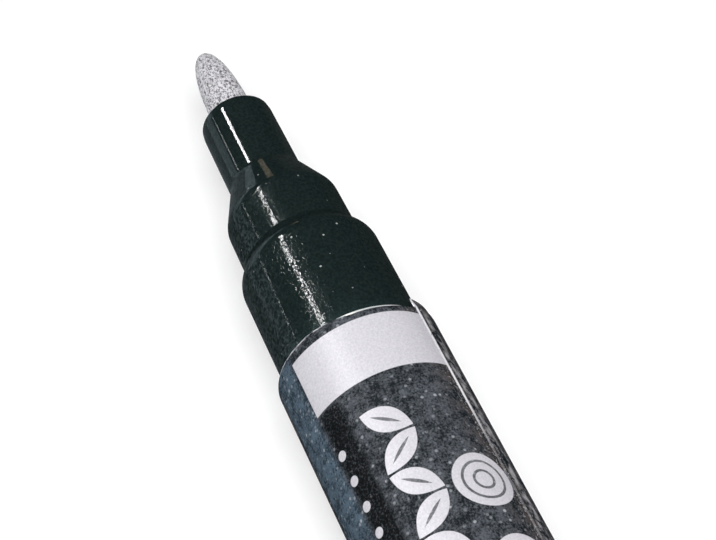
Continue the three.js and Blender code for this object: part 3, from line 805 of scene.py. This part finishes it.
clip_out = Vector((0, math.cos(CLIP_SIDE), math.sin(CLIP_SIDE)))
clip_across = Vector((0, -math.sin(CLIP_SIDE), math.cos(CLIP_SIDE)))
clip_around = [2 * math.pi * corner / CLIP_SIDES for corner in range(CLIP_SIDES)]
sections = []
for station in range(STATIONS + 1):
    share = station / STATIONS
    crowding = CROWDED * math.sin(4 * math.pi * share) / (4 * math.pi)
    past = (CLIP_FRONT - CLIP_REAR) * (share - crowding)
    left = CLIP_FRONT - CLIP_REAR - past
    top = CLIP_REACH - HEEL_DROP * near(past, HEEL_LENGTH) - TOE_DROP * near(left, TOE_LENGTH)
    root = 1 / (1 + math.exp((past - ROOT_LENGTH) / ROOT_SOFT))
    bead = math.exp(-((left - BEAD_MIDDLE) / BEAD_HALF) ** 4)
    bottom = CLIP_INSIDE - (CLIP_INSIDE - ROOT_DEPTH) * root - (CLIP_INSIDE - BEAD_DEPTH) * bead
    bottom += TOE_LIFT * max(0, 1 - left / LIFT_LENGTH)
    half = CLIP_WIDTH / 2 * (1 - CLIP_TAPER * share)
    half *= math.sqrt(1 - near(left, TOE_ROUND) * TOE_NARROWED)
    half *= math.sqrt(1 - near(past, HEEL_ROUND) * HEEL_NARROWED)
    section = []
    for angle in clip_around:
        across = half * squared(math.cos(angle))
        rise = (top + bottom) / 2 + (top - bottom) / 2 * squared(math.sin(angle))
        section.append(Vector((rim, 0, axis_height)) + MM * (
            Vector((CLIP_REAR + past, 0, 0)) + clip_out * rise + clip_across * across))
    sections.append(section)
clip = piece("cap_clip", drawn_through(sections), sharp=50)
dress(clip, grained_black)
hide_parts("cap")
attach(clip, "cap")


# The cap's liner is a cup that seals the nib when the cap is on the nose. It is moulded in a
# natural plastic as milky as the valve's, and takes the same material.
dress(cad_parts["cap_liner"], acetal)


# The disc in the cap's end is silver-coloured plastic and shows the paint's colour.
# Its pigment flakes, drawn about 0.15 mm across so that they show, each catch the light at
# their own angle.
FLAKE = 0.15
DISC_THICK = 0.8
DISC_DRAFT = 0.02
silver_plastic, tree, shader = material("silver pigmented plastic")
flakes = add_node("TexVoronoi", {
    "Vector": add_node("TexCoord").outputs["Object"], "Scale": 1 / (FLAKE * MM)})
lie = add_node("SeparateColor", {"Color": flakes.outputs["Color"]})
set_node(shader, {
    "Base Color": add_node("Mix", {
        "data_type": "RGBA", "A": linear("#c2c1c9"), "B": linear("#dddce2"),
        "Factor": lie.outputs["Red"]}),
    "Roughness": add_node("MapRange", {
        "Value": lie.outputs["Green"], "To Min": 0.22, "To Max": 0.42}),
    "Metallic": 0.4, "Specular IOR Level": 0.1})
end_disc = piece("cap_colour_disc", turned(rounded([
    (CAP_END + DISC_THICK, 0, 0), (CAP_END + DISC_THICK, DISC, 0),
    (CAP_END + DISC_DRAFT, DISC, 0.15), (CAP_END, 0, 0)])))
dress(end_disc, silver_plastic)
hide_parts("cap_end_disc")
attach(end_disc, "cap")


# The pen lies on a plain white table. The table glows a little, but only to the camera and in
# mirrored light, so that it stays pale round the pen's soft shadow.
TABLE = 6.0
TABLE_GAP = 0.02
TABLE_GLOW = 0.54
mesh = bmesh.new()
bmesh.ops.create_grid(mesh, x_segments=1, y_segments=1, size=TABLE / 2)
table = piece("table", mesh)
table.location.z = cad_box[0].z - TABLE_GAP * MM
paper, tree, shader = material("white table")
path = add_node("LightPath")
seen = union(path.outputs["Is Camera Ray"], path.outputs["Is Glossy Ray"],
             path.outputs["Is Transmission Ray"])
set_node(shader, {
    "Base Color": linear("#bebebe"), "Roughness": 0.9, "Specular IOR Level": 0.0,
    "Emission Color": linear("#ffffff"), "Emission Strength": overlap(seen, TABLE_GLOW)})
dress(table, paper)

world = bpy.data.worlds.new("studio")
bpy.context.scene.world = world
world.use_nodes = True
set_node(world.node_tree.nodes["Background"], {"Color": (0.1, 0.1, 0.11, 1), "Strength": 1.0})


# Lamps and cards, with places and sizes in metres. Five of them only make highlights. The strip
# lamp draws the bright line down the nose, and a narrow rail draws the thin line beside it. A
# large white card further off and a small one low beside the nose lighten its side, and a small
# brown card makes the warm patch on the cone. The broad lamp above and the dim grey world light
# everything else.
CARD_WHITE = (0.8, 1.0, 1.1)
CARD_BROWN = (1.0, 0.85, 0.6)
STRIP_PLACE = 0.33
STRIP_AWAY = 0.4
STRIP_ANGLE = math.radians(54)
RAIL_LOW = Vector((1.226, 1.625, 0.015))
RAIL_HIGH = Vector((1.44, 1.412, 0.328))


def lamp(name, place, target, along, length, width, power, colour=(1, 1, 1)):
    """An area lamp that faces a point, with its length along a direction."""
    data = bpy.data.lights.new(name, "AREA")
    data.shape = "RECTANGLE"
    data.size, data.size_y = length, width
    data.energy = power
    data.color = colour
    made = bpy.data.objects.new(name, data)
    back = (Vector(place) - Vector(target)).normalized()
    up = back.cross(Vector(along)).normalized()
    made.matrix_world = Matrix((up.cross(back), up, back)).transposed().to_4x4()
    made.location = place
    bpy.context.scene.collection.objects.link(made)
    return made


pen_front = Vector((0.05, 0, axis_height))
strip_lamp = lamp(
    "strip lamp",
    (STRIP_PLACE, STRIP_AWAY * math.cos(STRIP_ANGLE), STRIP_AWAY * math.sin(STRIP_ANGLE)),
    (STRIP_PLACE, 0, axis_height), (1, 0, 0), length=0.5, width=0.055, power=52.0)
rail = lamp("bright rail", (RAIL_LOW + RAIL_HIGH) / 2, pen_front, RAIL_HIGH - RAIL_LOW,
            length=0.44, width=0.05, power=7.0)
white_card = lamp("white card", (1.0, 0.768, 0.06), (1.0, 0.709, 0.81), (1, 0, 0),
                  length=2.0, width=1.5, power=100.0, colour=CARD_WHITE)
near_card = lamp("near white card", (0.075, 0.0135, 0.0004), (0.075, 0.0135, 1.0), (1, 0, 0),
                 length=0.13, width=0.021, power=0.024, colour=CARD_WHITE)
brown_card = lamp("brown card", (1.06, -0.065, 0.065), (0.06, -0.01, 0.02), (0, 1, 0),
                  length=0.1, width=0.12, power=0.55, colour=CARD_BROWN)
for one in (strip_lamp, rail, white_card, near_card, brown_card):
    one.visible_diffuse = False
    one.visible_camera = False
broad_lamp = lamp("broad lamp", (-0.3, 0.13, 0.75), pen_front, (0, 1, 0),
                  length=0.6, width=0.6, power=8.7)
broad_lamp.visible_glossy = False

# The camera stands behind and above the pen and looks forward along it. Its focal length is
# worked out from the picture's width, both in pixels.
SENSOR = 36
FOCAL_PIXELS = 2000
PICTURE_PIXELS = 716
camera = bpy.data.objects.new("camera", bpy.data.cameras.new("camera"))
bpy.context.scene.collection.objects.link(camera)
camera.data.sensor_width = SENSOR
camera.data.lens = SENSOR * FOCAL_PIXELS / PICTURE_PIXELS
camera.data.clip_start = 0.01
camera.location = (-0.056107, 0.040835, 0.150542)
looking = Vector((0.59490, -0.24087, -0.76686))
camera.rotation_euler = looking.to_track_quat("-Z", "Y").to_euler()
bpy.context.scene.camera = camera
bpy.context.scene.view_settings.view_transform = "Standard"
